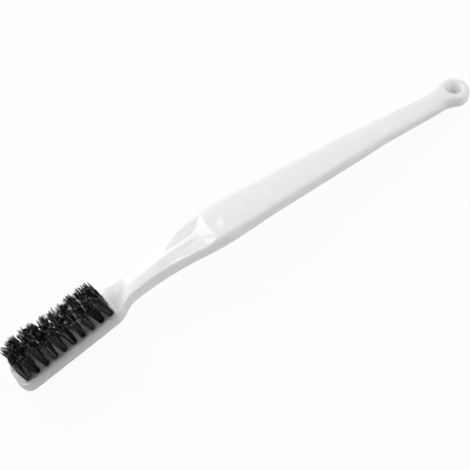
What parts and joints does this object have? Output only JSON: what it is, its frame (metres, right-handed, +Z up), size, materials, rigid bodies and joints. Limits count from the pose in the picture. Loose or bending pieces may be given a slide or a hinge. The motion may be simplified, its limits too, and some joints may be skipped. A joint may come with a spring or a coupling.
{
  "type": "scratch brush",
  "caption": "Toothbrush-shaped scratch brush: rows of stiff black bristle tufts set in the head of a slim, curved white plastic handle with thumb dimples and a hanging ring.",
  "frame": {"origin": "below the middle of the bounding box, on the surface that the brush rests on", "axes": "+X runs from the head's tip to the hanging ring, +Y goes across the handle, and +Z is up with the bristles pointing up"},
  "size_m": [0.1768, 0.0146, 0.0195],
  "materials": {
    "white moulded polypropylene": "smooth moulded gloss",
    "black nylon bristle": "drawn filament, cut ends",
    "brass anchor strip": "sheared strip"
  },
  "bodies": {
    "root": {"handle": "white moulded polypropylene", "tuft_near_01": "black nylon bristle", "tuft_near_02": "black nylon bristle", "tuft_near_03": "black nylon bristle", "tuft_near_04": "black nylon bristle", "tuft_near_05": "black nylon bristle", "tuft_near_06": "black nylon bristle", "tuft_near_07": "black nylon bristle", "tuft_near_08": "black nylon bristle", "tuft_near_09": "black nylon bristle", "tuft_near_10": "black nylon bristle", "tuft_middle_01": "black nylon bristle", "tuft_middle_02": "black nylon bristle", "tuft_middle_03": "black nylon bristle", "tuft_middle_04": "black nylon bristle", "tuft_middle_05": "black nylon bristle", "tuft_middle_06": "black nylon bristle", "tuft_middle_07": "black nylon bristle", "tuft_middle_08": "black nylon bristle", "tuft_middle_09": "black nylon bristle", "tuft_middle_10": "black nylon bristle", "tuft_far_01": "black nylon bristle", "tuft_far_02": "black nylon bristle", "tuft_far_03": "black nylon bristle", "tuft_far_04": "black nylon bristle", "tuft_far_05": "black nylon bristle", "tuft_far_06": "black nylon bristle", "tuft_far_07": "black nylon bristle", "tuft_far_08": "black nylon bristle", "tuft_far_09": "black nylon bristle", "tuft_far_10": "black nylon bristle", "anchor_near_01": "brass anchor strip", "anchor_near_02": "brass anchor strip", "anchor_near_03": "brass anchor strip", "anchor_near_04": "brass anchor strip", "anchor_near_05": "brass anchor strip", "anchor_near_06": "brass anchor strip", "anchor_near_07": "brass anchor strip", "anchor_near_08": "brass anchor strip", "anchor_near_09": "brass anchor strip", "anchor_near_10": "brass anchor strip", "anchor_middle_01": "brass anchor strip", "anchor_middle_02": "brass anchor strip", "anchor_middle_03": "brass anchor strip", "anchor_middle_04": "brass anchor strip", "anchor_middle_05": "brass anchor strip", "anchor_middle_06": "brass anchor strip", "anchor_middle_07": "brass anchor strip", "anchor_middle_08": "brass anchor strip", "anchor_middle_09": "brass anchor strip", "anchor_middle_10": "brass anchor strip", "anchor_far_01": "brass anchor strip", "anchor_far_02": "brass anchor strip", "anchor_far_03": "brass anchor strip", "anchor_far_04": "brass anchor strip", "anchor_far_05": "brass anchor strip", "anchor_far_06": "brass anchor strip", "anchor_far_07": "brass anchor strip", "anchor_far_08": "brass anchor strip", "anchor_far_09": "brass anchor strip"}
  },
  "joints": []
}
